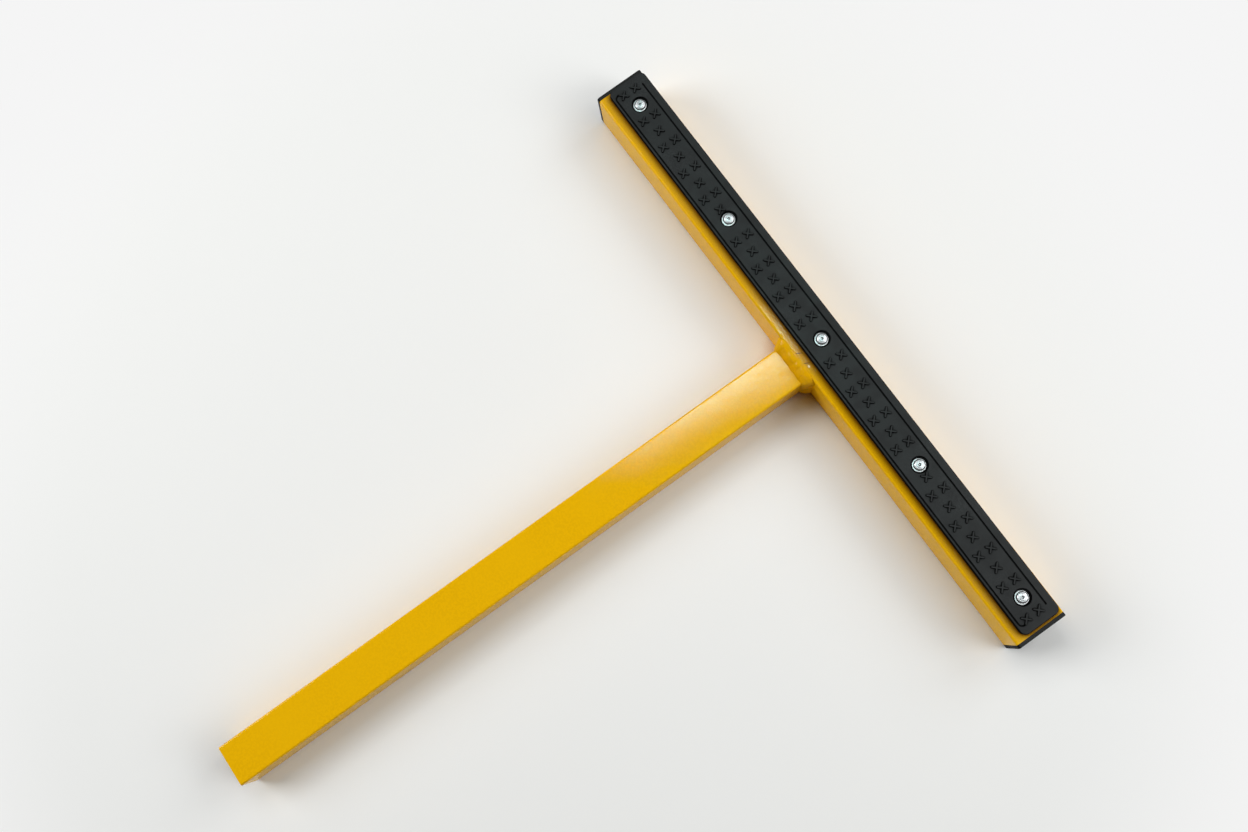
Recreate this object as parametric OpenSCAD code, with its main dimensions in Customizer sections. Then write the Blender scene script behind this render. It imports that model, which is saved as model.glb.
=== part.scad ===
// Welded steel T-bar with a riveted rubber tread along its cross bar.
// X runs along the cross bar, the stem points to -Y and Z is up from the floor.
// The origin is under the middle of the cross bar, on the floor it lies on.

/* [Cross bar tube] */
// Length of the square tube, without its end caps
bar_len = 624; // [420:1:1200]
// Width of the tube across the bar
bar_w = 50; // [44:1:80]
// Height of the tube
bar_h = 50; // [44:1:80]
// Wall thickness of the tube
bar_wall = 2.5; // [1.5:0.5:4]
// Radius of the tube's outer corners
bar_corner_r = 2.5; // [2:0.5:6]

/* [Stem tube] */
// Length of the stem, from the cross bar's side to its sawn end
stem_len = 625; // [200:1:1200]
// Width of the stem
stem_w = 40; // [30:1:44]
// Height of the stem, which lies level with the underside of the cross bar
stem_h = 40; // [30:1:42]
// Wall thickness of the stem
stem_wall = 2.5; // [1.5:0.5:4]
// Radius of the stem's outer corners
stem_corner_r = 2; // [1.5:0.5:6]

/* [Weld bead] */
// How far the bead climbs the cross bar's side
weld_leg_bar = 7.5; // [3:0.5:8]
// How far the bead reaches along the stem
weld_leg_stem = 9; // [3:0.5:12]
// How far the bead bulges past a flat fillet
weld_bulge = 1; // [0:0.1:1.5]

/* [End caps] */
// Thickness of the cap's flange, seen outside the tube
cap_flange = 3.5; // [2:0.5:6]
// Depth of the plug pushed into the tube
cap_plug_len = 22; // [14:1:40]
// Wall thickness of the hollow plug
cap_plug_wall = 2; // [1.5:0.5:3]
// Number of gripping ribs round the plug
cap_rib_count = 3; // [2:1:4]
// Thickness of each gripping rib
cap_rib_t = 1.2; // [0.8:0.1:2]
// How far the ribs stand out from the plug
cap_rib_depth = 1.4; // [0.8:0.1:2]
// Gap between the ribs and the tube's inner faces
cap_rib_gap = 0.1; // [0.05:0.05:0.3]

/* [Tread pad] */
// Width of the moulded rubber tread
pad_w = 40; // [34:0.2:42]
// Thickness of the tread, without its studs
pad_t = 5; // [4:0.5:8]
// Gap between the tread's right end and the end of the tube
pad_gap_right = 2.5; // [1:0.5:8]
// Gap between the tread's left end and the end of the tube
pad_gap_left = 0.5; // [0.5:0.5:8]
// How far the tread sits off the tube's middle, away from the stem
pad_shift = 4.1; // [0:0.1:4.5]
// How far the tread is turned out of line with the tube, in degrees
pad_skew = 0.15; // [0:0.05:0.4]
// Radius of the tread's corners seen from above
pad_corner_r = 6; // [3:0.5:10]
// Radius of the tread's upper edges
pad_edge_r = 1; // [0.5:0.1:1.5]

/* [Tread grooves] */
// Width of the two long grooves
groove_w = 1.6; // [1:0.1:3]
// Depth of the two long grooves
groove_depth = 1.2; // [0.6:0.1:2]
// Distance of the groove near the stem from its edge of the tread
groove_inset_near = 2.8; // [2.2:0.2:8]
// Distance of the other groove from its edge of the tread
groove_inset_far = 7.5; // [3:0.5:8]
// Distance of the grooves' ends from the tread's ends
groove_end_inset = 12; // [6:1:30]
// Radius of the quarter turns that end the groove near the stem
groove_hook_r = 4; // [3:0.5:6]

/* [Tread studs] */
// Length of a stud's two crossed arms
stud_len = 11.2; // [8:0.2:12]
// Width of a stud's arms
stud_arm_w = 2.6; // [2:0.1:3.5]
// Height of the studs above the tread
stud_h = 1.2; // [0.5:0.1:1.5]
// Distance between the columns of studs along the tread
stud_pitch = 16.2; // [14:0.1:18]
// Distance between the two studs that share a column
stud_pair_gap = 13.2; // [12:0.1:15]
// Smooth length kept round the middle of each rivet
stud_clear = 13; // [12:0.5:16]

/* [Rivets and washers] */
// Number of rivets along the tread
rivet_count = 5; // [3:1:7]
// Distance of the outer rivets from the ends of the tread
rivet_end_inset = 27.5; // [20:0.5:60]
// How far the row of rivets lies off the tube's middle, away from the stem
rivet_shift = 3.3; // [0:0.1:3.5]
// Diameter of the rivet's shank
rivet_shank_d = 4.8; // [4:0.1:6.4]
// Diameter of the rivet's domed head
rivet_head_d = 10.6; // [9:0.1:12]
// Height of the rivet's domed head
rivet_head_h = 2.2; // [1.5:0.1:3]
// Diameter of the hole that the mandrel leaves in the head
rivet_mandrel_d = 1.8; // [1:0.1:2.5]
// Depth of the hole that the mandrel leaves in the head
rivet_mandrel_depth = 1.6; // [0.5:0.1:2]
// Diameter of the blind bulb inside the tube
rivet_bulb_d = 7.6; // [6.6:0.1:9]
// Height of the blind bulb inside the tube
rivet_bulb_h = 5; // [3:0.5:8]
// Play of the shank in the tube, the washer and the tread
rivet_play = 0.1; // [0.05:0.05:0.3]
// Diameter of the washer under each head
washer_d = 13; // [12:0.5:14]
// Thickness of the washer
washer_t = 1; // [0.8:0.1:1.6]
// Diameter of the round recess in the tread
recess_d = 16; // [15:0.5:18]
// Depth of the round recess in the tread
recess_depth = 2.4; // [1:0.1:3]

/* [Hidden] */

// Fineness of the round features
fine = 48;
// Overlap that lets one cut run clean through the face it starts at
cut = 1;
// Fineness of the round ends of the studs
stud_fine = 16;
// Number of straight steps in the bead's bulged face
weld_steps = 6;

bar_inner_w = bar_w - 2 * bar_wall;
bar_inner_h = bar_h - 2 * bar_wall;
bar_inner_r = max(bar_corner_r - bar_wall, 0.5);
stem_inner_w = stem_w - 2 * stem_wall;
stem_inner_h = stem_h - 2 * stem_wall;
stem_inner_r = max(stem_corner_r - stem_wall, 0.5);

pad_len = bar_len - pad_gap_left - pad_gap_right;
pad_x = (pad_gap_left - pad_gap_right) / 2;
// Middle of the studded field, halfway between the two grooves
field_y = (groove_inset_near - groove_inset_far) / 2;

// The bead climbs the flat of the bar's side up to its round edge, and stays half as high as it is long
weld_rise = min(weld_leg_bar, max(bar_h - bar_corner_r - stem_h, weld_leg_stem / 2));

rivet_span = pad_len - 2 * rivet_end_inset;
rivet_pitch = rivet_span / (rivet_count - 1);
recess_floor = bar_h + pad_t - recess_depth;
head_seat = recess_floor + washer_t;

plug_w = bar_inner_w - 2 * (cap_rib_gap + cap_rib_depth);
plug_h = bar_inner_h - 2 * (cap_rib_gap + cap_rib_depth);
rib_w = bar_inner_w - 2 * cap_rib_gap;
rib_h = bar_inner_h - 2 * cap_rib_gap;
rib_pitch = cap_plug_len / (cap_rib_count + 1);

// Place of a rivet along the tube, with the row in the middle of the tread
function rivet_x(i) = pad_x + (i - 1) * rivet_pitch - rivet_span / 2;

// Place of the same rivet, measured from the middle of the tread
function tread_x(i) = rivet_x(i) - pad_x;

// Columns of studs are counted from the nearest outer rivet, or from mid bay further in
half_bay = rivet_pitch / 2;
outer_columns = floor((rivet_pitch - stud_clear / 2) / stud_pitch);
inner_columns = floor((half_bay - stud_clear) / stud_pitch);
end_columns = floor((rivet_end_inset - stud_len / 2 - pad_edge_r) / stud_pitch);

// Rectangle with round corners, centred on the origin
module round_rect(w, h, r) {
    square([w, h - 2 * r], center = true);
    square([w - 2 * r, h], center = true);
    for (x = [-1, 1], y = [-1, 1])
        translate([x * (w / 2 - r), y * (h / 2 - r)])
            circle(r = r, $fn = fine);
}

// Box with four round edges along X, with its middle at the origin
module bar_along_x(len, w, h, r) {
    rotate([90, 0, 90])
        translate([0, 0, -len / 2])
            linear_extrude(len)
                round_rect(w, h, r);
}

// Square tube of the cross bar, drilled through its top wall for the rivets
module cross_bar() {
    color("gold")
        difference() {
            translate([0, 0, bar_h / 2])
                difference() {
                    bar_along_x(bar_len, bar_w, bar_h, bar_corner_r);
                    bar_along_x(bar_len + 2 * cut, bar_inner_w, bar_inner_h, bar_inner_r);
                }
            for (i = [1 : rivet_count])
                translate([rivet_x(i), rivet_shift, bar_h - bar_wall - cut])
                    cylinder(d = rivet_shank_d + 2 * rivet_play, h = bar_wall + 2 * cut, $fn = fine);
        }
}

// Square tube of the stem, butted against the cross bar's side
module stem() {
    color("gold")
        translate([0, -bar_w / 2, stem_h / 2])
            rotate([90, 0, 0])
                difference() {
                    linear_extrude(stem_len)
                        round_rect(stem_w, stem_h, stem_corner_r);
                    translate([0, 0, -cut])
                        linear_extrude(stem_len + 2 * cut)
                            round_rect(stem_inner_w, stem_inner_h, stem_inner_r);
                }
}

// Bulged fillet section: x away from the stem, y away from the cross bar
function weld_point(a) = let (bulge = 1 + weld_bulge / weld_rise * sin(2 * a))
    [weld_rise * pow(cos(a), 1.6) * bulge, weld_leg_stem * pow(sin(a), 1.6) * bulge];

module weld_section() {
    polygon(concat([[0, 0]], [for (k = [0 : weld_steps]) weld_point(90 * k / weld_steps)]));
}

// Straight run of the bead, centred, on the stem's face at the given turn
module weld_run(turn, reach, len) {
    rotate([0, turn, 0])
        translate([reach, 0, -len / 2])
            mirror([0, 1, 0])
                linear_extrude(len)
                    weld_section();
}

// Quarter turn of the bead round one upper corner of the stem
module weld_corner(turn) {
    rotate([90, 0, 0])
        rotate([0, 0, turn])
            rotate_extrude(angle = 90, $fn = fine)
                translate([stem_corner_r, 0])
                    weld_section();
}

// Bead round the top and both sides of the stem, all one weld
module weld_bead() {
    side_len = stem_h - stem_corner_r;
    color("goldenrod")
        translate([0, -bar_w / 2, 0]) {
            translate([0, 0, side_len / 2]) {
                weld_run(0, stem_w / 2, side_len);
                weld_run(180, stem_w / 2, side_len);
            }
            translate([0, 0, stem_h / 2])
                weld_run(-90, stem_h / 2, stem_w - 2 * stem_corner_r);
            translate([stem_w / 2 - stem_corner_r, 0, stem_h - stem_corner_r])
                weld_corner(0);
            translate([-stem_w / 2 + stem_corner_r, 0, stem_h - stem_corner_r])
                weld_corner(90);
        }
}

// Ribbed plug cap for the end of the tube on +X, with its flange outside
module end_cap() {
    translate([bar_len / 2 + cap_flange / 2, 0, bar_h / 2])
        bar_along_x(cap_flange, bar_w, bar_h, bar_corner_r);
    translate([bar_len / 2 - cap_plug_len / 2, 0, bar_h / 2])
        difference() {
            bar_along_x(cap_plug_len, plug_w, plug_h, bar_inner_r);
            translate([-cut, 0, 0])
                bar_along_x(cap_plug_len + 2 * cut, plug_w - 2 * cap_plug_wall,
                            plug_h - 2 * cap_plug_wall, bar_inner_r);
        }
    for (k = [1 : cap_rib_count])
        translate([bar_len / 2 - k * rib_pitch, 0, bar_h / 2])
            difference() {
                bar_along_x(cap_rib_t, rib_w, rib_h, bar_inner_r);
                bar_along_x(cap_rib_t + 2 * cut, plug_w - cap_plug_wall, plug_h - cap_plug_wall,
                            bar_inner_r);
            }
}

module end_cap_right() {
    color("#262524")
        end_cap();
}

module end_cap_left() {
    color("#262524")
        mirror([1, 0, 0])
            end_cap();
}

// Slab of the tread with soft upper edges on all four sides
module pad_slab() {
    intersection() {
        linear_extrude(pad_t)
            round_rect(pad_len, pad_w, pad_corner_r);
        bar_along_x(pad_len + 2 * cut, pad_w, 2 * pad_t, pad_edge_r);
        rotate([0, 0, 90])
            bar_along_x(pad_w + 2 * cut, pad_len, 2 * pad_t, pad_edge_r);
    }
}

// Long groove with round ends, at the given distance from the tread's middle
module groove(y) {
    run = pad_len - 2 * groove_end_inset;
    translate([0, y, pad_t - groove_depth]) {
        translate([-run / 2, -groove_w / 2, 0])
            cube([run, groove_w, groove_depth + cut]);
        for (x = [-1, 1])
            translate([x * run / 2, 0, 0])
                cylinder(d = groove_w, h = groove_depth + cut, $fn = fine);
    }
}

// Quarter turn that carries a groove's end round the tread's corner, towards the middle
module groove_hook(y) {
    run = pad_len - 2 * groove_end_inset;
    for (side = [-1, 1])
        translate([side * run / 2, y + groove_hook_r, pad_t - groove_depth]) {
            rotate([0, 0, side > 0 ? -90 : 180])
                rotate_extrude(angle = 90, $fn = fine)
                    translate([groove_hook_r - groove_w / 2, 0])
                        square([groove_w, groove_depth + cut]);
            translate([side * groove_hook_r, 0, 0])
                cylinder(d = groove_w, h = groove_depth + cut, $fn = fine);
        }
}

// Outline of one anti-slip stud: two crossed arms with round ends
module stud_outline() {
    for (turn = [45, 135])
        rotate(turn) {
            square([stud_len - stud_arm_w, stud_arm_w], center = true);
            for (x = [-1, 1])
                translate([x * (stud_len - stud_arm_w) / 2, 0])
                    circle(d = stud_arm_w, $fn = stud_fine);
        }
}

// One column of studs: a pair in odd columns, a single one in even columns
module stud_column(k) {
    for (y = k % 2 == 1 ? [-1, 1] : [0])
        translate([0, y * stud_pair_gap / 2])
            stud_outline();
}

// All the studs: outer bays and ends count from the outer rivets, inner bays from mid bay
module stud_field() {
    for (side = [-1, 1], k = [-end_columns : outer_columns])
        if (k != 0)
            translate([side * (rivet_span / 2 - k * stud_pitch), 0])
                stud_column(abs(k));
    for (i = [2 : rivet_count - 2], k = [-inner_columns : inner_columns])
        translate([tread_x(i) + half_bay + k * stud_pitch, 0])
            stud_column(abs(k) % 2 == inner_columns % 2 ? 1 : 0);
}

// Moulded rubber tread with studs, two long grooves and a recess for each rivet
module tread_pad() {
    color("#2b2c2e")
        difference() {
            translate([pad_x, pad_shift, bar_h])
                rotate([0, 0, -pad_skew]) {
                    difference() {
                        pad_slab();
                        groove(groove_inset_near - pad_w / 2);
                        groove_hook(groove_inset_near - pad_w / 2);
                        groove(pad_w / 2 - groove_inset_far);
                    }
                    translate([0, field_y, pad_t - groove_depth])
                        linear_extrude(groove_depth + stud_h)
                            stud_field();
                }
            for (i = [1 : rivet_count])
                translate([rivet_x(i), rivet_shift, 0]) {
                    translate([0, 0, recess_floor])
                        cylinder(d = recess_d, h = recess_depth + cut, $fn = fine);
                    translate([0, 0, bar_h - cut])
                        cylinder(d = rivet_shank_d + 2 * rivet_play, h = pad_t, $fn = fine);
                }
        }
}

// Points of a quarter dome, from its rim to its crown
function dome_points(r, h, n) = [for (k = [0 : n]) [r * cos(90 * k / n), h * sin(90 * k / n)]];

// Blind rivet: domed head, shank through tread and tube wall, bulb inside the tube
module rivet(i) {
    grip = head_seat - (bar_h - bar_wall);
    color("#c4c9cc")
        translate([rivet_x(i), rivet_shift, 0])
            difference() {
                union() {
                    translate([0, 0, head_seat])
                        rotate_extrude($fn = fine)
                            polygon(concat([[0, 0]], dome_points(rivet_head_d / 2, rivet_head_h, 8)));
                    translate([0, 0, head_seat - grip])
                        cylinder(d = rivet_shank_d, h = grip, $fn = fine);
                    translate([0, 0, head_seat - grip - rivet_bulb_h])
                        rotate_extrude($fn = fine)
                            polygon([[0, 0], [rivet_shank_d / 2, 0],
                                     [rivet_bulb_d / 2, rivet_bulb_h / 2],
                                     [rivet_bulb_d / 2, rivet_bulb_h], [0, rivet_bulb_h]]);
                }
                translate([0, 0, head_seat + rivet_head_h - rivet_mandrel_depth])
                    cylinder(d = rivet_mandrel_d, h = rivet_mandrel_depth + cut, $fn = fine);
            }
}

// Flat washer that lies in the recess, under the rivet's head
module washer(i) {
    color("#b4babd")
        translate([rivet_x(i), rivet_shift, recess_floor])
            difference() {
                cylinder(d = washer_d, h = washer_t, $fn = fine);
                translate([0, 0, -cut])
                    cylinder(d = rivet_shank_d + 2 * rivet_play, h = washer_t + 2 * cut, $fn = fine);
            }
}

cross_bar();
stem();
weld_bead();
end_cap_left();
end_cap_right();
tread_pad();
rivet(1);  // rivet_1
rivet(2);  // rivet_2
rivet(3);  // rivet_3
rivet(4);  // rivet_4
rivet(5);  // rivet_5
washer(1);  // washer_1
washer(2);  // washer_2
washer(3);  // washer_3
washer(4);  // washer_4
washer(5);  // washer_5
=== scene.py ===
# %% [markdown]
# A welded T-bar with a riveted rubber tread.
# The solids come from the CAD model, already in metres and in place. This lesson dresses
# them: it sets up the camera and the light, mixes a material for each real finish, and
# builds the pieces whose fine shape the CAD model leaves out.

from math import cos, pi, radians, sin

import bmesh
import bpy
from mathutils import Matrix, Vector, noise


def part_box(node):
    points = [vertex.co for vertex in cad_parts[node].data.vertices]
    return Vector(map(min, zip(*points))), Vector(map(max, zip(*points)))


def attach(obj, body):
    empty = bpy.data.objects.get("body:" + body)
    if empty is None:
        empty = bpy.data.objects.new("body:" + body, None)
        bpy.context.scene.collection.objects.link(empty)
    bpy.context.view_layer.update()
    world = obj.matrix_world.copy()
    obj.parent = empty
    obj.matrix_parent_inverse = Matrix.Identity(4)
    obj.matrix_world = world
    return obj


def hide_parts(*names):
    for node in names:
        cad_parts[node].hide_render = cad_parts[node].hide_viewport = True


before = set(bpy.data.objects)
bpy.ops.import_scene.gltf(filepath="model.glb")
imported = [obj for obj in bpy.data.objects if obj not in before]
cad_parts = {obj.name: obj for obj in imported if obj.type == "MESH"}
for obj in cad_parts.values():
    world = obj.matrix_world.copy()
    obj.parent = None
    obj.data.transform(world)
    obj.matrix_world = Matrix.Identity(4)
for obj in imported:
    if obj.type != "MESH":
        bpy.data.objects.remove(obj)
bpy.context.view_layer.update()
scene = bpy.context.scene
MM = 0.001


# %% [markdown]
# The camera stands where the photographer stood, high above the T and a little to its left.
# A camera can be placed by eye, but a T of known proportions gives many straight edges, so
# its place, turn and lens were worked out from those edges instead. The lens is a little
# wide, which is why the stem seems to grow towards the joint.

# %% Camera
camera_data = bpy.data.cameras.new("camera")
camera_data.sensor_width = 36
camera_data.lens = 34.063
camera_data.clip_end = 30
camera = bpy.data.objects.new("camera", camera_data)
camera.location = (0.15035, -0.22654, 1.10105)
camera.rotation_euler = (radians(10.1552), radians(4.311), radians(54.6806))
scene.collection.objects.link(camera)
scene.camera = camera
scene.view_settings.view_transform = "Standard"
print("camera", round(camera_data.lens, 2), "mm lens at", tuple(round(v, 3) for v in camera.location))


# %% [markdown]
# Colours are written the way a painter picks them on a screen, as hex values. Blender mixes
# light in linear numbers, so one small function turns the one into the other. A second one
# adds a node to a tree, sets its properties and links or fills its inputs, so that every
# material below reads as a list of nodes.

# %% Colour and node helpers
def linear(hex_colour):
    parts = [int(hex_colour[i : i + 2], 16) / 255 for i in (1, 3, 5)]
    return tuple(p / 12.92 if p <= 0.04045 else ((p + 0.055) / 1.055) ** 2.4 for p in parts) + (1.0,)


def add_node(tree, kind, settings=None, inputs=None):
    node = tree.nodes.new(kind)
    for name, value in (settings or {}).items():
        setattr(node, name, value)
    for key, value in (inputs or {}).items():
        if isinstance(value, bpy.types.NodeSocket):
            tree.links.new(value, node.inputs[key])
        else:
            node.inputs[key].default_value = value
    return node


def new_material(name):
    material = bpy.data.materials.new(name)
    material.use_nodes = True
    material.node_tree.nodes.clear()
    return material, material.node_tree


print("yellow in linear numbers:", [round(v, 3) for v in linear("#E0A313")])


# %% [markdown]
# A pattern in a material is measured in metres too. The Noise texture makes one blotch about
# every 1 / scale metres, so a small function turns a size in millimetres into a scale.
# A second helper makes a noise of a given size, and a third stretches part of its range
# to 0 to 1, which turns soft noise into spots or streaks. Two more measure how open a place
# lies to its surroundings and how far a surface faces upwards.

# %% Pattern helpers
def per_mm(size_mm):
    return 1000 / size_mm


def noise_of(tree, place, size_mm, detail=2.0, rough=0.5):
    return add_node(
        tree, "ShaderNodeTexNoise", {},
        {"Vector": place, "Scale": per_mm(size_mm), "Detail": detail, "Roughness": rough},
    ).outputs["Fac"]


def stretched(tree, value, low, high, to_low=0.0, to_high=1.0):
    return add_node(
        tree, "ShaderNodeMapRange", {"interpolation_type": "SMOOTHSTEP"},
        {"Value": value, "From Min": low, "From Max": high, "To Min": to_low, "To Max": to_high},
    ).outputs["Result"]


def mixed(tree, factor, a, b):
    return add_node(tree, "ShaderNodeMix", {"data_type": "RGBA"}, {0: factor, 6: a, 7: b}).outputs[2]


def combined(tree, operation, a, b):
    clamped = {"operation": operation, "use_clamp": True}
    return add_node(tree, "ShaderNodeMath", clamped, {0: a, 1: b}).outputs[0]


def openness(tree, reach_mm):
    inputs = {"Distance": reach_mm * MM}
    return add_node(tree, "ShaderNodeAmbientOcclusion", {"samples": 8}, inputs).outputs["AO"]


def up_part(tree, vector):
    return add_node(tree, "ShaderNodeSeparateXYZ", {}, {0: vector}).outputs["Z"]


def bumped(tree, height, depth_mm, normal=None):
    inputs = {"Height": height, "Distance": depth_mm * MM, "Strength": 1.0}
    if normal:
        inputs["Normal"] = normal
    return add_node(tree, "ShaderNodeBump", {}, inputs).outputs["Normal"]


print("2 mm blotches need a scale of", per_mm(2))


# %% [markdown]
# Yellow powder coat. Dry paint powder is sprayed on the welded frame and baked, and it
# flows into one smooth glossy skin with a faint orange peel of 2 mm waves. The colour is
# even, so what the eye reads is the gloss: reflections with a slightly grainy edge.
# A plain shader would give a plastic look, so the waves go in as bump, and the gloss varies
# with them and with handling. The sides, where the spray came thin, are duller. The strip
# beside the tread, which lies less open than the rest of the tube's top, gets a painted
# shade: its colour is darkened and its gloss is cut. A few marks are listed one by one:
# two scratches and a chip.

# %% Material: yellow powder coat
PEEL_SIZE, GRIT_SIZE, CLOUD_SIZE = 2.2, 0.6, 60
SHADE_REACH, SHADE_STRENGTH = 20, 1.8
TUBE_TOP = 50


# Painted shade: near the tube's top, where the surface lies shut in, the colour darkens
def painted_shade_beside_tread(tree, place):
    shut_in = combined(tree, "SUBTRACT", 0.995, openness(tree, SHADE_REACH))
    shade_amount = combined(tree, "MULTIPLY", combined(tree, "POWER", shut_in, 0.7), SHADE_STRENGTH)
    near_top = stretched(tree, up_part(tree, place), (TUBE_TOP - 4.5) * MM, (TUBE_TOP - 1) * MM)
    return combined(tree, "MULTIPLY", shade_amount, near_top)


def mark_on_top(tree, place, x, y, turn, length, width):
    local = add_node(tree, "ShaderNodeMapping", {"vector_type": "TEXTURE"}, {
        "Vector": place, "Location": (x * MM, y * MM, TUBE_TOP * MM),
        "Rotation": (0, 0, radians(turn)), "Scale": (length / 2 * MM, width / 2 * MM, 4 * MM),
    }).outputs["Vector"]
    far = add_node(tree, "ShaderNodeVectorMath", {"operation": "LENGTH"}, {0: local})
    return stretched(tree, far.outputs["Value"], 0.7, 1.2, 1.0, 0.0)


def powder_coat(name, base_hex, deep_hex, shade_hex, gloss, peel_mm, marks=()):
    material, tree = new_material(name)
    place = add_node(tree, "ShaderNodeTexCoord").outputs["Object"]
    cloud = noise_of(tree, place, CLOUD_SIZE, detail=4)
    peel = noise_of(tree, place, PEEL_SIZE, detail=1)
    grit = noise_of(tree, place, GRIT_SIZE, detail=2)
    depth = combined(tree, "MULTIPLY", stretched(tree, cloud, 0.2, 0.7), stretched(tree, peel, 0.35, 0.65))
    colour = mixed(tree, depth, linear(base_hex), linear(deep_hex))
    # Painted shade beside the tread darkens the colour
    painted_shade = painted_shade_beside_tread(tree, place)
    colour = mixed(tree, painted_shade, colour, linear(shade_hex))
    for x, y, turn, length, width, mark_hex in marks:
        mark = mark_on_top(tree, place, x, y, turn, length, width)
        colour = mixed(tree, mark, colour, linear(mark_hex))
    dulled = stretched(tree, noise_of(tree, place, 25, detail=5), 0.4, 0.75, gloss, gloss + 0.03)
    skin = bumped(tree, grit, peel_mm * 0.15, bumped(tree, peel, peel_mm))
    facing = add_node(tree, "ShaderNodeTexCoord").outputs["Normal"]
    # The gloss is cut where the painted shade lies
    unshaded_gloss = combined(tree, "SUBTRACT", 1.0, painted_shade)
    unshaded_gloss = combined(tree, "MULTIPLY", stretched(tree, peel, 0.38, 0.62, 0.4, 1.0), unshaded_gloss)
    sheen = stretched(tree, up_part(tree, facing), 0.5, 0.95, 0.1, 0.55)
    sheen = combined(tree, "MULTIPLY", sheen, unshaded_gloss)
    shader = add_node(tree, "ShaderNodeBsdfPrincipled", {}, {
        "Base Color": colour, "Roughness": dulled, "Normal": skin,
        "IOR": 1.3, "Specular IOR Level": sheen,
    })
    add_node(tree, "ShaderNodeOutputMaterial", {}, {"Surface": shader.outputs[0]})
    return material


# Each mark is x, y, turn in degrees, length, width and colour
worn_marks = [
    (-3, -20.4, 62, 7, 0.9, "#5E3A08"),
    (8.5, -20.2, 62, 6, 0.9, "#5E3A08"),
    (12, -20.4, 0, 2.6, 1.8, "#F4DC9A"),
]
# The finish of the tubes is a glossy yellow powder coat, with painted shade beside the tread
tube_paint = powder_coat(
    "yellow_powder_coat_on_steel_tube", "#EDB608", "#E8B006", "#7A4C08", 0.05, 0.06, worn_marks
)
# The finish of the weld is the same coat over a rougher surface, a little duller, with painted shade
weld_paint = powder_coat("yellow_powder_coat_on_weld", "#E9AE06", "#E0A504", "#B57306", 0.08, 0.1)
print("paint:", tube_paint.name, weld_paint.name)


# %% [markdown]
# Moulded rubber. It is nearly black and soft, pressed hot in a steel mould whose blasted
# face leaves a fine grain. Feet rub the flat tops a little grey and blunt. Grooves, recesses
# and the flanks of the studs get painted shade: their colour is made near black and their
# gloss is cut. The upward part of the normal and the Ambient Occlusion node find them.

# %% Material: moulded black rubber
def moulded_black(name, base_hex, worn_hex, roughness, sheen, grain_mm, grain_depth):
    material, tree = new_material(name)
    place = add_node(tree, "ShaderNodeTexCoord").outputs["Object"]
    dust = combined(
        tree, "MULTIPLY",
        stretched(tree, noise_of(tree, place, 40, detail=5), 0.42, 0.75),
        stretched(tree, noise_of(tree, place, 1.5, detail=3), 0.35, 0.7),
    )
    colour = mixed(tree, dust, linear(base_hex), linear(worn_hex))
    shine = stretched(tree, noise_of(tree, place, 12, detail=4), 0.35, 0.7, roughness, roughness + 0.12)
    skin = bumped(tree, noise_of(tree, place, grain_mm, detail=2, rough=0.6), grain_depth)
    facing = add_node(tree, "ShaderNodeTexCoord").outputs["Normal"]
    upward = stretched(tree, up_part(tree, facing), 0.75, 0.97)
    # Painted shade: flanks, grooves and recesses turn near black and lose their gloss
    unshaded_tops = combined(tree, "MULTIPLY", upward, stretched(tree, openness(tree, 3), 0.5, 0.92))
    colour = mixed(tree, unshaded_tops, linear("#060606"), colour)
    shader = add_node(tree, "ShaderNodeBsdfPrincipled", {}, {
        "Base Color": colour, "Roughness": shine, "Normal": skin,
        "IOR": 1.5, "Specular IOR Level": stretched(tree, unshaded_tops, 0.0, 1.0, 0.04, sheen),
    })
    add_node(tree, "ShaderNodeOutputMaterial", {}, {"Surface": shader.outputs[0]})
    return material


# The finish of the tread is matt black moulded rubber, rubbed on its flat tops,
# with painted shade on its flanks and in its grooves and recesses
tread_rubber = moulded_black("moulded_black_rubber", "#111213", "#202122", 0.55, 0.36, 0.8, 0.03)
# The finish of the caps is matt black polyethylene, warmer in tone and smoother,
# with the same painted shade on its sides and in its crevices
cap_plastic = moulded_black("moulded_black_polyethylene", "#11100F", "#1B1A18", 0.5, 0.3, 1.2, 0.02)
print("black:", tread_rubber.name, cap_plastic.name)


# %% [markdown]
# Zinc plated steel. Rivets and washers are pressed from wire and sheet, barrelled and
# plated, so they are bright but not mirrors: fine scuffs lie in every direction. It is a
# bare metal, so the colour is in the reflection, metallic is 1 and the IOR stays as it is.
# In the narrow gaps the metal is painted nearly black, as painted shade with some dirt.

# %% Material: zinc plated steel
def plated_steel(name, bright_hex, dull_hex, roughness):
    material, tree = new_material(name)
    place = add_node(tree, "ShaderNodeTexCoord").outputs["Object"]
    scuffs = noise_of(tree, place, 0.9, detail=5, rough=0.65)
    colour = mixed(tree, stretched(tree, scuffs, 0.4, 0.7), linear(bright_hex), linear(dull_hex))
    # Painted shade, with some dirt: the metal turns nearly black in narrow gaps
    colour = mixed(tree, stretched(tree, openness(tree, 1.8), 0.62, 0.94), linear("#0C0D0E"), colour)
    shader = add_node(
        tree, "ShaderNodeBsdfPrincipled", {},
        {
            "Base Color": colour, "Metallic": 1.0,
            "Roughness": stretched(tree, scuffs, 0.35, 0.7, roughness, roughness + 0.14),
            "Normal": bumped(tree, noise_of(tree, place, 0.5, detail=3), 0.012),
        },
    )
    add_node(tree, "ShaderNodeOutputMaterial", {}, {"Surface": shader.outputs[0]})
    return material


# The finish of the rivets is bright zinc plate with fine scuffs
rivet_steel = plated_steel("zinc_plated_rivet_steel", "#E9EBED", "#BFC3C6", 0.38)
# The finish of the washers is zinc plate, paler and blunter from barrelling
washer_steel = plated_steel("zinc_plated_washer_steel", "#F2F3F4", "#D6D9DB", 0.45)
print("metal:", rivet_steel.name, washer_steel.name)


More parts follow.
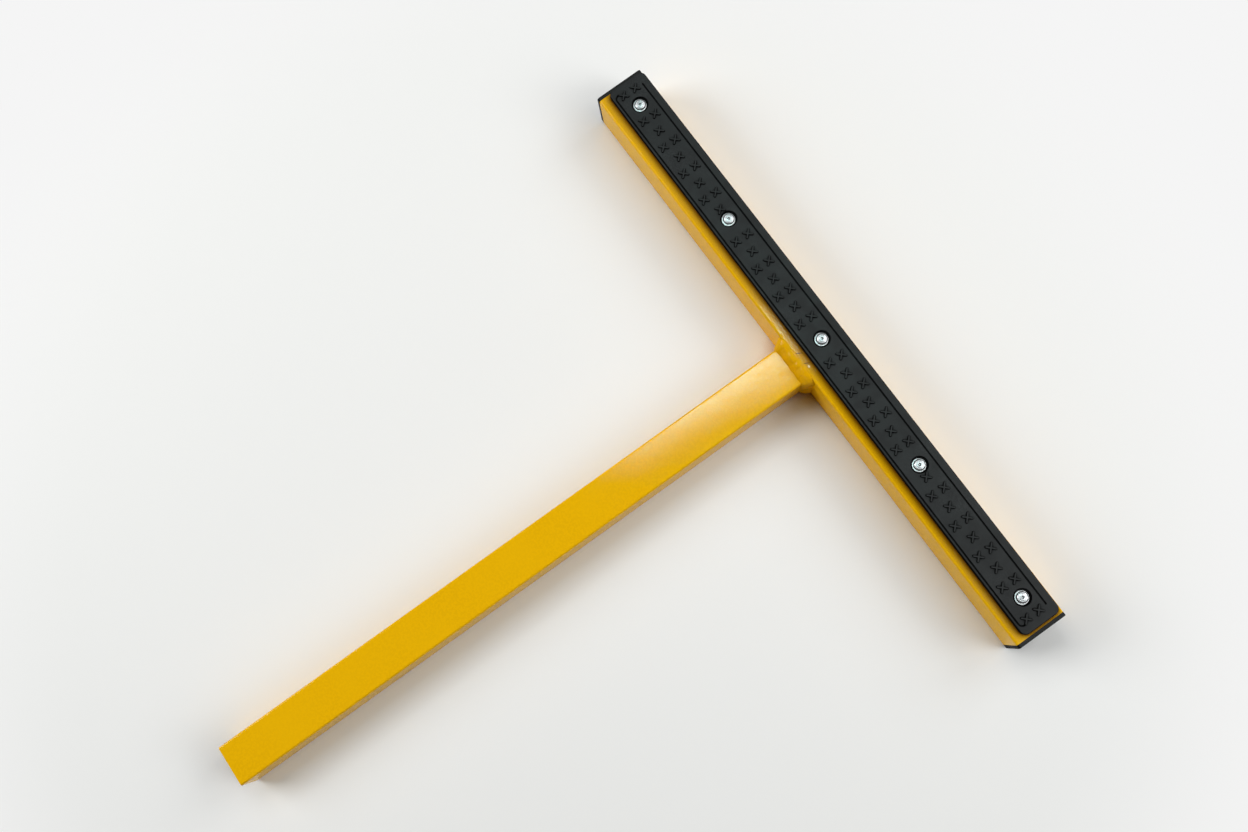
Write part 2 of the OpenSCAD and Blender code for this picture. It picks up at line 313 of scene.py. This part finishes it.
# %% [markdown]
# Every finished mesh below is made the same way: points and faces go into bmesh, double
# points are merged, faces are turned outwards, and edges flatter than an angle are shaded
# smooth. Modifiers are then baked into a plain mesh.

# %% Mesh helpers
def mesh_object(name, points, faces, material):
    mesh = bpy.data.meshes.new(name)
    mesh.from_pydata([Vector(p) * MM for p in points], [], faces)
    obj = bpy.data.objects.new(name, mesh)
    scene.collection.objects.link(obj)
    mesh.materials.append(material)
    return obj


def clean(obj, smooth_deg=35, merge_mm=0.001):
    shape = bmesh.new()
    shape.from_mesh(obj.data)
    bmesh.ops.remove_doubles(shape, verts=shape.verts, dist=merge_mm * MM)
    bmesh.ops.recalc_face_normals(shape, faces=shape.faces)
    for face in shape.faces:
        face.smooth = True
    shape.to_mesh(obj.data)
    shape.free()
    obj.data.set_sharp_from_angle(angle=radians(smooth_deg))
    return obj


def baked(obj, smooth_deg=35):
    bpy.context.view_layer.update()
    evaluated = obj.evaluated_get(bpy.context.evaluated_depsgraph_get())
    mesh = bpy.data.meshes.new_from_object(evaluated)
    obj.modifiers.clear()
    old = obj.data
    obj.data = mesh
    bpy.data.meshes.remove(old)
    mesh.name = obj.name
    if smooth_deg:
        for face in mesh.polygons:
            face.use_smooth = True
        mesh.set_sharp_from_angle(angle=radians(smooth_deg))
    return obj


def soft_edges(obj, width_mm, segments=3, over_deg=40):
    bevel = obj.modifiers.new("soft_edges", "BEVEL")
    bevel.width = width_mm * MM
    bevel.segments = segments
    bevel.limit_method = "ANGLE"
    bevel.angle_limit = radians(over_deg)
    bevel.harden_normals = False
    bevel.miter_outer = "MITER_ARC"
    return obj


def true_flats(obj):
    weighted = obj.modifiers.new("true_flats", "WEIGHTED_NORMAL")
    weighted.keep_sharp = True
    return baked(obj, None)


def finished_copy(node, name, material, edge_mm):
    shape = bmesh.new()
    shape.from_mesh(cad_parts[node].data)
    bmesh.ops.remove_doubles(shape, verts=shape.verts, dist=0.002 * MM)
    bmesh.ops.dissolve_limit(shape, angle_limit=radians(1), verts=shape.verts, edges=shape.edges)
    mesh = bpy.data.meshes.new(name)
    shape.to_mesh(mesh)
    shape.free()
    mesh.materials.clear()
    mesh.materials.append(material)
    obj = bpy.data.objects.new(name, mesh)
    scene.collection.objects.link(obj)
    return true_flats(baked(soft_edges(obj, edge_mm)))


def report(obj):
    low, high = [[f(v.co[i] for v in obj.data.vertices) / MM for i in range(3)] for f in (min, max)]
    low, high = [[round(v, 1) for v in corner] for corner in (low, high)]
    print(obj.name, len(obj.data.polygons), "faces, from", low, "to", high)


print("mesh helpers ready")


# %% [markdown]
# The two tubes are cold formed from strip, so their long edges are round, and their sawn
# ends are only just broken by the paint. The CAD solids already have this shape. A merged
# copy of each shades its round corners smoothly and lets a Bevel soften the sawn rims.

# %% Tubes
tube_rims = 0.4
cross_tube = finished_copy("cross_bar", "cross_bar_tube", tube_paint, tube_rims)
stem_tube = finished_copy("stem", "stem_tube", tube_paint, tube_rims)
report(cross_tube)
report(stem_tube)


# %% [markdown]
# Plug caps of soft plastic are pushed into the ends of the cross bar. The flange that stays
# outside has edges rounded by the mould. The same copy and bevel give that.

# %% End caps
cap_left = finished_copy("end_cap_left", "end_cap_left_plastic", cap_plastic, 0.5)
cap_right = finished_copy("end_cap_right", "end_cap_right_plastic", cap_plastic, 0.5)
report(cap_left)
report(cap_right)


# %% [markdown]
# The tread is one long rubber moulding: a slab with soft edges, two long grooves and a
# round recess with a hole in it for each rivet. Each cut could be drawn into the outline by hand, but a
# Boolean modifier cuts it as a tool would, and a last Bevel gives every lip the small
# radius that rubber takes from its mould.

# %% Tread sizes
bar_low, bar_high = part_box("cross_bar")
stem_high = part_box("stem")[1]
TREAD_LENGTH, TREAD_WIDTH, TREAD_THICK, TREAD_CORNER = 621.0, 40.0, 5.0, 6
TREAD_X, TREAD_Y, TREAD_SKEW, RIVET_Y = -1.0, 4.1, -0.15, 3.3
BAR_TOP = bar_high.z / MM
TREAD_TOP = BAR_TOP + TREAD_THICK
RIVET_PITCH, RECESS_DEPTH, RECESS_R, SHANK_HOLE_R = 141.5, 2.4, 8, 2.6
RIVETS = [TREAD_X + (i - 2) * RIVET_PITCH for i in range(5)]
RECESS_FLOOR = TREAD_TOP - RECESS_DEPTH
GROOVE_WIDTH, GROOVE_DEPTH, GROOVE_END, GROOVE_TURN = 1.6, 1.2, 24, 4.0
GROOVE_NEAR, GROOVE_FAR = 2.8, 7.5
OVERCUT = 3
print("tread top at", TREAD_TOP, "rivets at", RIVETS)


# %% Tread slab with its cuts
def prism(name, outline, z_low, z_high, material):
    count = len(outline)
    points = [(x, y, z) for z in (z_low, z_high) for x, y in outline]
    sides = [(i, (i + 1) % count, count + (i + 1) % count, count + i) for i in range(count)]
    caps = [tuple(reversed(range(count))), tuple(range(count, 2 * count))]
    return clean(mesh_object(name, points, sides + caps, material))


def rounded_outline(length, width, radius, steps=10):
    outline = []
    for corner, (sx, sy) in enumerate(((1, 1), (-1, 1), (-1, -1), (1, -1))):
        for k in range(steps + 1):
            a = pi / 2 * (corner + k / steps)
            x, y = sx * (length / 2 - radius), sy * (width / 2 - radius)
            outline.append((x + radius * cos(a), y + radius * sin(a)))
    return outline


def hooked_outline(length, width, turn, steps=8):
    inner, outer = turn - width / 2, turn + width / 2
    sweep = [pi / 2 * k / steps for k in range(steps + 1)]
    tip = [pi * k / 6 for k in range(1, 6)]
    right = [(length / 2 + outer * sin(a), turn - outer * cos(a)) for a in sweep]
    right += [(length / 2 + turn + width / 2 * cos(a), turn + width / 2 * sin(a)) for a in tip]
    right += [(length / 2 + inner * sin(a), turn - inner * cos(a)) for a in reversed(sweep)]
    return right + [(-x, y) for x, y in reversed(right)]


def placed_on_bar(outline, y=0.0):
    turn = Matrix.Rotation(radians(TREAD_SKEW), 2)
    turned = [turn @ Vector((x, y + v)) for x, v in outline]
    return [(TREAD_X + p.x, TREAD_Y + p.y) for p in turned]


def cut_away(obj, cutters):
    for cutter in cutters:
        boolean = obj.modifiers.new("cut", "BOOLEAN")
        boolean.object = cutter
        boolean.solver = "EXACT"
    baked(obj)
    for cutter in cutters:
        bpy.data.objects.remove(cutter)
    return obj


slab_outline = placed_on_bar(rounded_outline(TREAD_LENGTH, TREAD_WIDTH, TREAD_CORNER))
tread = prism("tread_rubber_slab", slab_outline, BAR_TOP, TREAD_TOP, tread_rubber)
edges = bmesh.new()
edges.from_mesh(tread.data)
top = [e for e in edges.edges if all(abs(v.co.z / MM - BAR_TOP - TREAD_THICK) < 0.01 for v in e.verts)]
bmesh.ops.bevel(edges, geom=top, offset=1.1 * MM, segments=4, profile=0.5, affect="EDGES")
edges.to_mesh(tread.data)
edges.free()
cutters = []
groove_length = TREAD_LENGTH - GROOVE_END
far_groove = rounded_outline(groove_length + GROOVE_WIDTH, GROOVE_WIDTH, 0.79, 6)
near_groove = hooked_outline(groove_length, GROOVE_WIDTH, GROOVE_TURN)
near_y, far_y = GROOVE_NEAR - TREAD_WIDTH / 2, TREAD_WIDTH / 2 - GROOVE_FAR
for groove, y in ((near_groove, near_y), (far_groove, far_y)):
    outline = placed_on_bar(groove, y)
    cutters.append(prism("groove", outline, TREAD_TOP - GROOVE_DEPTH, TREAD_TOP + OVERCUT, tread_rubber))
turns = [2 * pi * k / 48 for k in range(48)]
for x in RIVETS:
    for cut_name, radius, floor_z in (
        ("recess", RECESS_R, RECESS_FLOOR), ("shank_hole", SHANK_HOLE_R, BAR_TOP - 1)
    ):
        ring = [(x + radius * cos(a), RIVET_Y + radius * sin(a)) for a in turns]
        cutters.append(prism(cut_name, ring, floor_z, TREAD_TOP + OVERCUT, tread_rubber))
cut_away(tread, cutters)
true_flats(baked(soft_edges(tread, 0.3, 2, 50)))
report(tread)


# %% [markdown]
# One Geometry Nodes tree sets out everything that repeats. It puts a copy of a form on each
# point of a mesh, turns it by a given angle and a little at random, sizes it a little at
# random, makes the copies real and gives them their material. Its inputs are named, so the
# same tree serves the studs, the rivets and the washers.

# %% Geometry Nodes: set out copies of a form
def set_out_tree():
    tree = bpy.data.node_groups.new("set_out_copies", "GeometryNodeTree")
    sockets = (
        ("Geometry", "INPUT", "NodeSocketGeometry"), ("Form", "INPUT", "NodeSocketObject"),
        ("Turn", "INPUT", "NodeSocketFloat"), ("Random turn", "INPUT", "NodeSocketFloat"),
        ("Size change", "INPUT", "NodeSocketFloat"), ("Seed", "INPUT", "NodeSocketInt"),
        ("Finish", "INPUT", "NodeSocketMaterial"), ("Geometry", "OUTPUT", "NodeSocketGeometry"),
    )
    for name, way, kind in sockets:
        tree.interface.new_socket(name=name, in_out=way, socket_type=kind)
    given = add_node(tree, "NodeGroupInput").outputs
    form = add_node(
        tree, "GeometryNodeObjectInfo", {"transform_space": "ORIGINAL"}, {"Object": given["Form"]}
    )

    def worked_out(operation, a, b):
        return add_node(tree, "ShaderNodeMath", {"operation": operation}, {0: a, 1: b}).outputs[0]

    def drawn_between(low, high):
        inputs = {2: low, 3: high, "Seed": given["Seed"]}
        return add_node(tree, "FunctionNodeRandomValue", {"data_type": "FLOAT"}, inputs).outputs[1]

    turn = drawn_between(
        worked_out("SUBTRACT", given["Turn"], given["Random turn"]),
        worked_out("ADD", given["Turn"], given["Random turn"]),
    )
    size = drawn_between(worked_out("SUBTRACT", 1.0, given["Size change"]), 1.0)
    spin = add_node(tree, "ShaderNodeCombineXYZ", {}, {"Z": turn})
    copies = add_node(tree, "GeometryNodeInstanceOnPoints", {}, {
        "Points": given["Geometry"], "Instance": form.outputs["Geometry"],
        "Rotation": spin.outputs[0], "Scale": size,
    })
    real = add_node(tree, "GeometryNodeRealizeInstances", {}, {"Geometry": copies.outputs["Instances"]})
    finish = add_node(tree, "GeometryNodeSetMaterial", {}, {
        "Geometry": real.outputs["Geometry"], "Material": given["Finish"],
    })
    add_node(tree, "NodeGroupOutput", {}, {0: finish.outputs["Geometry"]})
    return tree


def run_tree(obj, tree, values, smooth_deg=35):
    modifier = obj.modifiers.new("nodes", "NODES")
    modifier.node_group = tree
    for item in tree.interface.items_tree:
        if item.in_out == "INPUT" and item.name in values:
            modifier[item.identifier] = values[item.name]
    return baked(obj, smooth_deg)


copies_tree = set_out_tree()


def set_out(name, points, form, material, turn=0.0, random_turn=0.0, size_change=0.0, seed=7):
    obj = mesh_object(name, points, [], material)
    run_tree(obj, copies_tree, {
        "Form": form, "Turn": turn, "Random turn": random_turn,
        "Size change": size_change, "Seed": seed, "Finish": material,
    })
    bpy.data.objects.remove(form)
    return obj


print("tree inputs:", [i.name for i in copies_tree.interface.items_tree if i.in_out == "INPUT"])


# %% [markdown]
# The studs give grip: raised crosses in columns of two and one by turns, with smooth rubber
# left round each rivet. A moulded stud has sloping sides and a round crown, so it leaves
# the mould. One stud is built as a heap of four outlines, each a little smaller, and the
# tree sets it out along the tread.

# %% Anti-slip studs
def cross_outline(reach, half_width, round_steps=3):
    outline = []
    for quarter in range(4):
        turn = Matrix.Rotation(pi / 4 + quarter * pi / 2, 2)
        arm = [(half_width, -half_width)]
        for k in range(round_steps + 1):
            a = -pi / 2 + pi * k / round_steps
            arm.append((reach - half_width + half_width * cos(a), half_width * sin(a)))
        outline += [tuple(turn @ Vector(p)) for p in arm]
    return outline


def stacked(name, rings, material):
    count = len(rings[0][0])
    points = [(x, y, z) for outline, z in rings for x, y in outline]
    faces = [
        (r * count + i, r * count + (i + 1) % count, (r + 1) * count + (i + 1) % count, (r + 1) * count + i)
        for r in range(len(rings) - 1) for i in range(count)
    ]
    faces += [tuple(reversed(range(count))), tuple(range((len(rings) - 1) * count, len(rings) * count))]
    return clean(mesh_object(name, points, faces, material), 50)


STUD_REACH, STUD_HALF_WIDTH = 5.6, 1.3
STUD_STEPS = ((0.0, -0.2), (0.15, 0.3), (0.5, 1.05), (0.65, 1.2))


def stud_form():
    rings = [
        (cross_outline(STUD_REACH - inset, STUD_HALF_WIDTH - inset), z) for inset, z in STUD_STEPS
    ]
    return stacked("stud_form", rings, tread_rubber)


def stud_places(pitch=16.2, pair=6.6, field_y=-2.35):
    span, bay = 4 * RIVET_PITCH, RIVET_PITCH
    columns = [(side * (span / 2 - k * pitch), k % 2) for side in (-1, 1) for k in range(-1, 9) if k]
    columns += [(x + k * pitch, abs(k) % 2) for x in (-bay / 2, bay / 2) for k in range(-3, 4)]
    turn = Matrix.Rotation(radians(TREAD_SKEW), 2)
    places = []
    for x, double in columns:
        for y in (-pair, pair) if double else (0.0,):
            p = turn @ Vector((x, y + field_y))
            places.append((TREAD_X + p.x, TREAD_Y + p.y, TREAD_TOP))
    return places


studs = set_out(
    "tread_studs", stud_places(), stud_form(), tread_rubber,
    turn=radians(TREAD_SKEW), random_turn=0.02,
)
report(studs)


# %% [markdown]
# Rivets and washers are turned forms, so each starts as a half outline that is swept round
# its axis. The rivet has a domed head with a thin lip, a ring and the small hole of its
# broken pin, a shank through the rubber and the tube's wall, and the bulb that locks it
# from below. The washers have slid a little towards the stem, as loose washers do.

# %% Turned forms
def lathe(name, profile, material, steps=40):
    points, faces, rows = [], [], []
    for r, z in profile:
        start = len(points)
        if r < 1e-6:
            points.append((0, 0, z))
            rows.append([start] * steps)
        else:
            points += [(r * cos(2 * pi * k / steps), r * sin(2 * pi * k / steps), z) for k in range(steps)]
            rows.append(list(range(start, start + steps)))
    for low, high in zip(rows, rows[1:]):
        for k in range(steps):
            face = [low[k], low[(k + 1) % steps], high[(k + 1) % steps], high[k]]
            faces.append(tuple(dict.fromkeys(face)))
    return clean(mesh_object(name, points, faces, material), 40)


WASHER_THICK, WASHER_SLIP = 1.0, 0.6
TUBE_WALL, SHANK_R, BULB_R, BULB_HEIGHT = 2.5, 2.4, 3.8, 5


def rivet_profile():
    seat = 3.6
    under = BAR_TOP - TUBE_WALL - (BAR_TOP + seat)
    tip, belly = under - BULB_HEIGHT, under - BULB_HEIGHT / 2
    below = [(0, tip), (SHANK_R, tip), (BULB_R, belly), (BULB_R, under), (SHANK_R, under), (SHANK_R, 0.0)]
    lip = [(5.2, 0.0), (5.3, 0.12), (5.2, 0.26), (5.0, 0.2), (4.7, 0.1)]
    rim = [(4.72, 0.5), (4.75, 0.9), (4.65, 1.3), (4.4, 1.65), (4.0, 1.9)]
    crown = [(3.6, 2.02), (3.3, 1.85), (3.0, 1.86), (2.7, 2.06), (1.9, 2.17), (1.5, 2.2)]
    hole = [(1.35, 2.12), (1.25, 1.9), (1.2, 1.35), (0.85, 1.3), (0.8, 1.5), (0.6, 1.56), (0, 1.5)]
    return below + lip + rim + crown + hole


def washer_profile():
    rounded_edge = [(6.5, 0.15), (6.45, 0.5), (6.3, 0.76), (6.05, 0.93), (5.7, 1.0)]
    return [(3.2, 0.0), (6.4, 0.0)] + rounded_edge + [(3.2, 1.0), (3.2, 0.0)]


washers = set_out(
    "zinc_washers", [(x, RIVET_Y - WASHER_SLIP, RECESS_FLOOR) for x in RIVETS],
    lathe("washer_form", washer_profile(), washer_steel), washer_steel, random_turn=pi,
)
rivets = set_out(
    "zinc_blind_rivets", [(x, RIVET_Y, RECESS_FLOOR + WASHER_THICK) for x in RIVETS],
    lathe("rivet_form", rivet_profile(), rivet_steel), rivet_steel, random_turn=pi,
)
report(washers)
report(rivets)


# %% [markdown]
# The weld is one bead round the top and both sides of the stem. A welder lays it as a row
# of overlapping puddles, and each sets as a crescent ripple, which the paint nearly fills.
# The bead is swept along the stem's outline here, and each ring of the sweep is stretched
# or shrunk by a faint ripple and by lumps, because a hand never moves quite evenly. Its
# roots lie a little inside both tubes, as melted metal does.

# %% Weld bead
STEM_HALF, STEM_TOP, STEM_R, BAR_R = 20.0, stem_high.z / MM, 2.0, 2.5
BAR_SIDE = bar_low.y / MM


def weld_path(step=0.45):
    legs, path = STEM_TOP - STEM_R, []
    quarter = STEM_R * pi / 2
    total = 2 * legs + 2 * quarter + 2 * (STEM_HALF - STEM_R)
    count = int(total / step)
    for k in range(count + 1):
        s = total * k / count
        if s < legs:
            path.append((s, (STEM_HALF, s), (1, 0)))
        elif s < legs + quarter:
            a = (s - legs) / STEM_R
            corner = (STEM_HALF - STEM_R + STEM_R * cos(a), legs + STEM_R * sin(a))
            path.append((s, corner, (cos(a), sin(a))))
        elif s < total - legs - quarter:
            path.append((s, (STEM_HALF - STEM_R - (s - legs - quarter), STEM_TOP), (0, 1)))
        elif s < total - legs:
            a = pi / 2 + (s - (total - legs - quarter)) / STEM_R
            corner = (-STEM_HALF + STEM_R + STEM_R * cos(a), legs + STEM_R * sin(a))
            path.append((s, corner, (cos(a), sin(a))))
        else:
            path.append((s, (-STEM_HALF, total - s), (-1, 0)))
    return path, total


def weld_point(base, out, up_bar, along_stem):
    x, z = base[0] + out[0] * up_bar, base[1] + out[1] * up_bar
    y = BAR_SIDE - along_stem
    flat_top = BAR_TOP - BAR_R
    if z > flat_top and out[1] > 0.5:
        a = min((z - flat_top) / BAR_R, pi / 2)
        z = flat_top + BAR_R * sin(a)
        y += BAR_R - BAR_R * cos(a)
    return x, y, z


ROOT_DEPTH, RIPPLE, RIPPLE_LENGTH, LUMPS = -0.8, 0.007, 3.4, 0.1


def weld_bead(name, steps=14):
    path, total = weld_path()
    points, faces = [], []
    for s, base, out in path:
        lump = noise.noise(Vector((s * 0.13, 3.1, 0.4)))
        fade = min(1.0, s / 4, (total - s) / 4)
        taper = 0.7 + 0.3 * fade
        leg_bar = (6.8 + 3.6 * max(out[1], 0) + 0.9 * lump) * taper
        leg_stem = (9.0 + 1.1 * noise.noise(Vector((s * 0.16, 7.7, 2.2)))) * taper
        crown = 1.5 + 0.15 * noise.noise(Vector((s * 0.1, 1.2, 9.1)))
        points.append(weld_point(base, out, ROOT_DEPTH, leg_stem))
        for k in range(steps + 1):
            t = k / steps
            a = t * pi / 2
            bow = sin(pi * t)
            ripple = RIPPLE * bow * cos(2 * pi * (s + 2.2 * bow + 0.8 * lump) / RIPPLE_LENGTH)
            rough = LUMPS * bow * noise.noise(Vector((s * 0.26, t * 3.2, 5.5)))
            swell = 1 + ripple + rough
            up_bar, along_stem = leg_bar * sin(a) ** crown * swell, leg_stem * cos(a) ** crown * swell
            points.append(weld_point(base, out, up_bar, along_stem))
        points.append(weld_point(base, out, ROOT_DEPTH, -0.5))
    rows = len(path)
    ring = len(points) // rows
    for r in range(rows - 1):
        for k in range(ring):
            after, low, high = (k + 1) % ring, r * ring, (r + 1) * ring
            faces.append((low + k, low + after, high + after, high + k))
    faces += [tuple(range(ring)), tuple(reversed(range((rows - 1) * ring, rows * ring)))]
    return clean(mesh_object(name, points, faces, weld_paint), 60)


weld = weld_bead("weld_bead_painted")
report(weld)


# %% [markdown]
# The floor is a plain pale sweep of studio paper. It is no part of the object. It keeps the
# object's shadow and the yellow light that the paint throws on it, and a warm brown painted
# shade is mixed into the paper in the corners beside the weld. Far from the T the camera
# sees one even pale tone, as an evenly lit backdrop gives.

# %% Floor
floor_material, tree = new_material("pale_studio_paper")
FLOOR_CENTRE, EVEN_FROM, EVEN_TO, FLOOR_REACH = (0, -0.3, 0), 0.46, 0.74, 6000
# Painted shade: the paper turns a warm brown in the shut-in corners beside the weld
paper_with_painted_shade = mixed(tree, stretched(tree, openness(tree, 30), 0.2, 0.5), linear("#B98344"), linear("#F3F4F2"))
paper = add_node(tree, "ShaderNodeBsdfPrincipled", {}, {
    "Base Color": paper_with_painted_shade, "Roughness": 0.9, "Specular IOR Level": 0.1,
})
even = add_node(tree, "ShaderNodeEmission", {}, {"Color": linear("#F5F5F5"), "Strength": 1.0})
place = add_node(tree, "ShaderNodeTexCoord").outputs["Object"]
away = add_node(
    tree, "ShaderNodeVectorMath", {"operation": "DISTANCE"}, {0: place, 1: FLOOR_CENTRE}
).outputs["Value"]
camera_ray = add_node(tree, "ShaderNodeLightPath").outputs["Is Camera Ray"]
outer = combined(tree, "MULTIPLY", camera_ray, stretched(tree, away, EVEN_FROM, EVEN_TO))
shader = add_node(tree, "ShaderNodeMixShader", {}, {0: outer, 1: paper.outputs[0], 2: even.outputs[0]})
add_node(tree, "ShaderNodeOutputMaterial", {}, {"Surface": shader.outputs[0]})
corners = [(x * FLOOR_REACH, y * FLOOR_REACH, 0) for x, y in ((-1, -1), (1, -1), (1, 1), (-1, 1))]
floor = mesh_object("floor", corners, [(0, 1, 2, 3)], floor_material)
print("floor", floor_material.name)


# %% [markdown]
# The light is a plain white studio. Seven wide soft lamps stand round the T, low and high,
# and give the soft shadows. A narrow cool strip hangs overhead and lights nothing by itself:
# only its reflection runs over the glossy flat tops near the joint. Between the lamps the
# ceiling is dark, which keeps the yellow full, and the pale walls show only in reflections.
# Where the camera looks past the floor it sees the same even tone as on the floor.

# %% Light
world = bpy.data.worlds.new("studio_walls")
scene.world = world
world.use_nodes = True
world.node_tree.nodes.clear()
room = world.node_tree
direction = add_node(room, "ShaderNodeTexCoord").outputs["Generated"]
WALL_GLOW, CEILING_GLOW, BACKDROP = 0.4, 0.03, 0.913
walls = stretched(room, up_part(room, direction), 0.3, 0.8, WALL_GLOW, CEILING_GLOW)
rays = add_node(room, "ShaderNodeLightPath").outputs
mirrored = combined(room, "MULTIPLY", walls, rays["Is Glossy Ray"])
level = combined(room, "ADD", mirrored, combined(room, "MULTIPLY", rays["Is Camera Ray"], BACKDROP))
glow = add_node(room, "ShaderNodeBackground", {}, {"Color": (1.0, 1.0, 1.0, 1.0), "Strength": level})
add_node(room, "ShaderNodeOutputWorld", {}, {"Surface": glow.outputs[0]})


def soft_lamp(name, place, target, size, power):
    data = bpy.data.lights.new(name, "AREA")
    data.shape = "RECTANGLE"
    data.size, data.size_y = size
    data.energy = power
    lamp = bpy.data.objects.new(name, data)
    lamp.location = place
    lamp.rotation_euler = (Vector(target) - Vector(place)).to_track_quat("-Z", "Y").to_euler()
    scene.collection.objects.link(lamp)
    return lamp


def lamp_round_the_t(name, azimuth, elevation, power, distance=2.6, size=1.3):
    centre = Vector((0, -0.2, 0))
    a, e = radians(azimuth), radians(elevation)
    place = centre + distance * Vector((cos(a) * cos(e), sin(a) * cos(e), sin(e)))
    return soft_lamp(name, place, centre, (size, size), power)


lamp_round_the_t("left_low_softbox", 225, 35, 32)
high_left = lamp_round_the_t("left_high_softbox", 180, 60, 16.5)
high_left.visible_glossy = False
lamp_round_the_t("far_high_softbox", 135, 60, 5)
lamp_round_the_t("right_high_softbox", 45, 60, 8.5)
lamp_round_the_t("right_low_softbox", 45, 35, 21.5)
lamp_round_the_t("far_low_softbox", 90, 35, 17.5)
lamp_round_the_t("near_fill_softbox", 270, 15, 3)
STRIP_X, STRIP_Y, STRIP_HEIGHT = -0.347, 0.07, 1.8
strip = soft_lamp(
    "overhead_strip", (STRIP_X, STRIP_Y, STRIP_HEIGHT), (STRIP_X, STRIP_Y, 0), (0.13, 0.5), 6.4
)
strip.rotation_euler.rotate_axis("Z", radians(-8))
strip.data.color = (0.6, 1.0, 0.95)
strip.visible_diffuse = False


# %% [markdown]
# Each finished piece is listed with the CAD nodes it stands for and the finish of the record
# it wears. It is hung on the body it moves with, and the CAD nodes it stands for are hidden.
# The object is one rigid frame, so all pieces ride on the one body.

# %% Hand the pieces over
handed = [
    (cross_tube, "yellow_paint", ["cross_bar"]),
    (stem_tube, "yellow_paint", ["stem"]),
    (weld, "yellow_paint", ["weld_bead"]),
    (cap_left, "black_plastic", ["end_cap_left"]),
    (cap_right, "black_plastic", ["end_cap_right"]),
    (tread, "black_rubber", ["tread_pad"]),
    (studs, "black_rubber", []),
    (washers, "zinc_steel", ["washer_%d" % i for i in range(1, 6)]),
    (rivets, "zinc_steel", ["rivet_%d" % i for i in range(1, 6)]),
]
for obj, slot, nodes in handed:
    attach(obj, "root")
    if nodes:
        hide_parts(*nodes)
print("pieces handed over:", len(handed))
